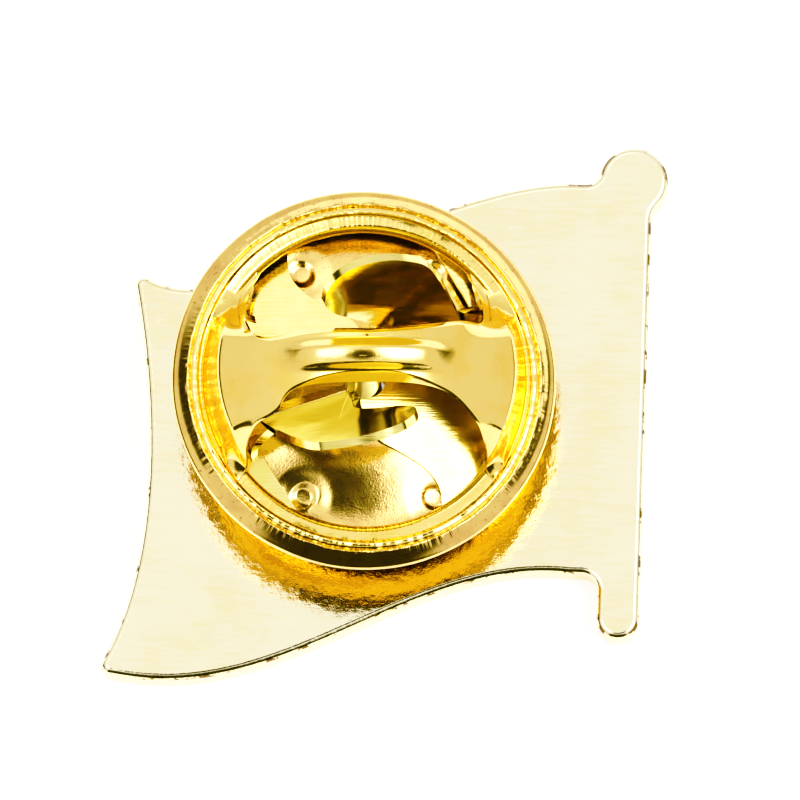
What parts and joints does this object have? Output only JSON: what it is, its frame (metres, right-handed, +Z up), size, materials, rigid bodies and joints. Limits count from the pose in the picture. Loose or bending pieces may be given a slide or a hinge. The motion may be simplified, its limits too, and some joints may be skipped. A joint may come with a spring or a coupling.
{
  "type": "flag lapel pin",
  "caption": "Waving-flag lapel pin lying on its face, with a soldered pointed post and a butterfly clutch pressed home on it.",
  "frame": {"origin": "on the surface that the pin lies on, under the middle of the flag's outline", "axes": "+Z up along the post, from the face that it lies on to the clutch; +Y along the flag's pole to its finial; +X from the fly to the pole"},
  "size_m": [0.0168, 0.0168, 0.0101],
  "materials": {
    "flag_gold": "pale gold plate, polished, faintly brushed",
    "clutch_gold": "bright gold plate",
    "spring_gold": "bright gold plate on rolled sheet"
  },
  "bodies": {
    "flag": {"flag": "flag_gold"},
    "clutch": {"clutch_base": "clutch_gold", "clutch_cap": "clutch_gold", "spring_clip": "spring_gold"}
  },
  "joints": [
    {"name": "clutch_slide", "type": "slide", "parent": "flag", "child": "clutch", "axis": [0, 0, 1], "range_m": [0, 0.004]}
  ]
}
